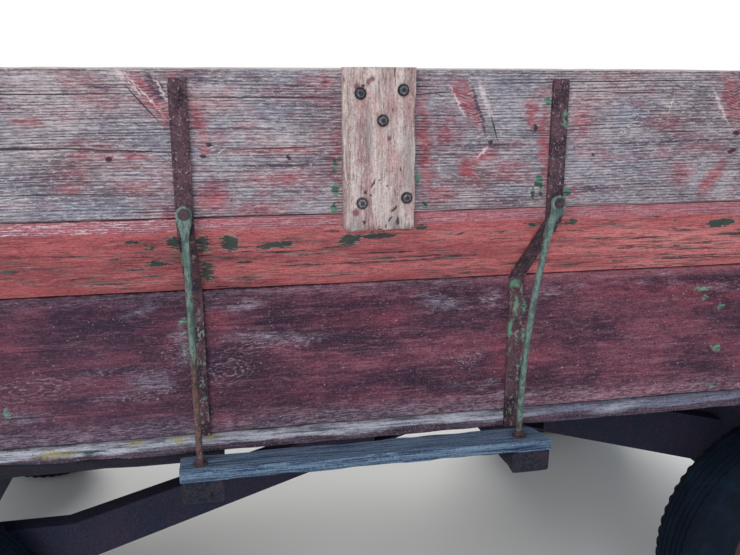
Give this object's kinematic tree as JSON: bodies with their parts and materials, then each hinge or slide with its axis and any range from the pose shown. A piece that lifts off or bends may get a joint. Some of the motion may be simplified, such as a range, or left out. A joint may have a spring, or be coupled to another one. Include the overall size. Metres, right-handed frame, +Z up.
{
  "type": "flare-side wagon",
  "caption": "Flat-floored wagon with a flared wooden box on a steel running gear, with steering front wheels, a hinged tongue and a swinging end gate, for loose loads.",
  "frame": {"origin": "on the ground, at the middle of the whole length and width with the tongue lying down", "axes": "+X forward along the tongue, +Y to the wagon's left, +Z up"},
  "size_m": [4.8064, 2.1364, 1.552],
  "materials": {
    "board_paint": "weathered paint",
    "bare_wood": "weathered grey",
    "floor_wood": "worn",
    "strap_steel": "rusty",
    "gear_steel": "rusty",
    "rim_paint": "faded",
    "tyre_rubber": "dusty"
  },
  "bodies": {
    "chassis": {"top_board_right": "board_paint", "flare_board_right": "board_paint", "lower_board_right": "board_paint", "bottom_strip_right": "bare_wood", "stakes_right": "strap_steel", "brace_rods_right": "strap_steel", "top_board_left": "board_paint", "flare_board_left": "board_paint", "lower_board_left": "board_paint", "bottom_strip_left": "bare_wood", "stakes_left": "strap_steel", "brace_rods_left": "strap_steel", "cross_sills": "bare_wood", "long_sills": "bare_wood", "step_plank": "bare_wood", "patch_board": "bare_wood", "floor_boards": "floor_wood", "front_end_boards": "board_paint", "front_battens": "board_paint", "gate_rod": "strap_steel", "axle_front": "gear_steel", "risers_front": "gear_steel", "bolster_front": "gear_steel", "hounds_front": "gear_steel", "axle_rear": "gear_steel", "risers_rear": "gear_steel", "bolster_rear": "gear_steel", "hounds_rear": "gear_steel", "reach": "gear_steel", "reach_collars": "gear_steel"},
    "end_gate": {"gate_boards": "board_paint", "gate_straps": "strap_steel"},
    "right_knuckle": {"knuckle_right": "gear_steel"},
    "left_knuckle": {"knuckle_left": "gear_steel"},
    "steering_head": {"steering_head": "gear_steel"},
    "tie_bar": {"tie_rod": "gear_steel"},
    "tongue": {"tongue": "gear_steel", "hitch": "gear_steel"},
    "front_right_wheel": {"wheel_front_right": "rim_paint", "tyre_front_right": "tyre_rubber"},
    "front_left_wheel": {"wheel_front_left": "rim_paint", "tyre_front_left": "tyre_rubber"},
    "rear_right_wheel": {"wheel_rear_right": "rim_paint", "tyre_rear_right": "tyre_rubber"},
    "rear_left_wheel": {"wheel_rear_left": "rim_paint", "tyre_rear_left": "tyre_rubber"}
  },
  "joints": [
    {"name": "tongue_swing", "type": "hinge", "parent": "chassis", "child": "steering_head", "pos_m": [0.44326, 0, 0.401], "axis": [0, 0, 1], "range_deg": [-30, 30]},
    {"name": "right_knuckle_turn", "type": "hinge", "parent": "chassis", "child": "right_knuckle", "pos_m": [0.44326, -0.61, 0.465], "axis": [0, 0, 1], "range_deg": [-30, 30]},
    {"name": "left_knuckle_turn", "type": "hinge", "parent": "chassis", "child": "left_knuckle", "pos_m": [0.44326, 0.61, 0.465], "axis": [0, 0, 1], "range_deg": [-30, 30]},
    {"name": "tie_bar_turn", "type": "hinge", "parent": "steering_head", "child": "tie_bar", "pos_m": [0.55326, 0, 0.4213], "axis": [0, 0, 1], "range_deg": [-30, 30]},
    {"name": "tongue_lift", "type": "hinge", "parent": "steering_head", "child": "tongue", "pos_m": [0.60326, 0, 0.345], "axis": [0, -1, 0], "range_deg": [0, 40]},
    {"name": "end_gate_swing", "type": "hinge", "parent": "chassis", "child": "end_gate", "pos_m": [-2.38274, 0, 1.503], "axis": [0, 1, 0], "range_deg": [0, 75]},
    {"name": "front_right_wheel_spin", "type": "hinge", "parent": "right_knuckle", "child": "front_right_wheel", "pos_m": [0.44326, -0.75, 0.365], "axis": [0, 1, 0], "continuous": true},
    {"name": "front_left_wheel_spin", "type": "hinge", "parent": "left_knuckle", "child": "front_left_wheel", "pos_m": [0.44326, 0.75, 0.365], "axis": [0, 1, 0], "continuous": true},
    {"name": "rear_right_wheel_spin", "type": "hinge", "parent": "chassis", "child": "rear_right_wheel", "pos_m": [-1.73874, -0.75, 0.365], "axis": [0, 1, 0], "continuous": true},
    {"name": "rear_left_wheel_spin", "type": "hinge", "parent": "chassis", "child": "rear_left_wheel", "pos_m": [-1.73874, 0.75, 0.365], "axis": [0, 1, 0], "continuous": true}
  ],
  "couplings": [
    {"joint": "right_knuckle_turn", "follows": "tongue_swing", "ratio": 1},
    {"joint": "left_knuckle_turn", "follows": "tongue_swing", "ratio": 1},
    {"joint": "tie_bar_turn", "follows": "tongue_swing", "ratio": -1}
  ]
}
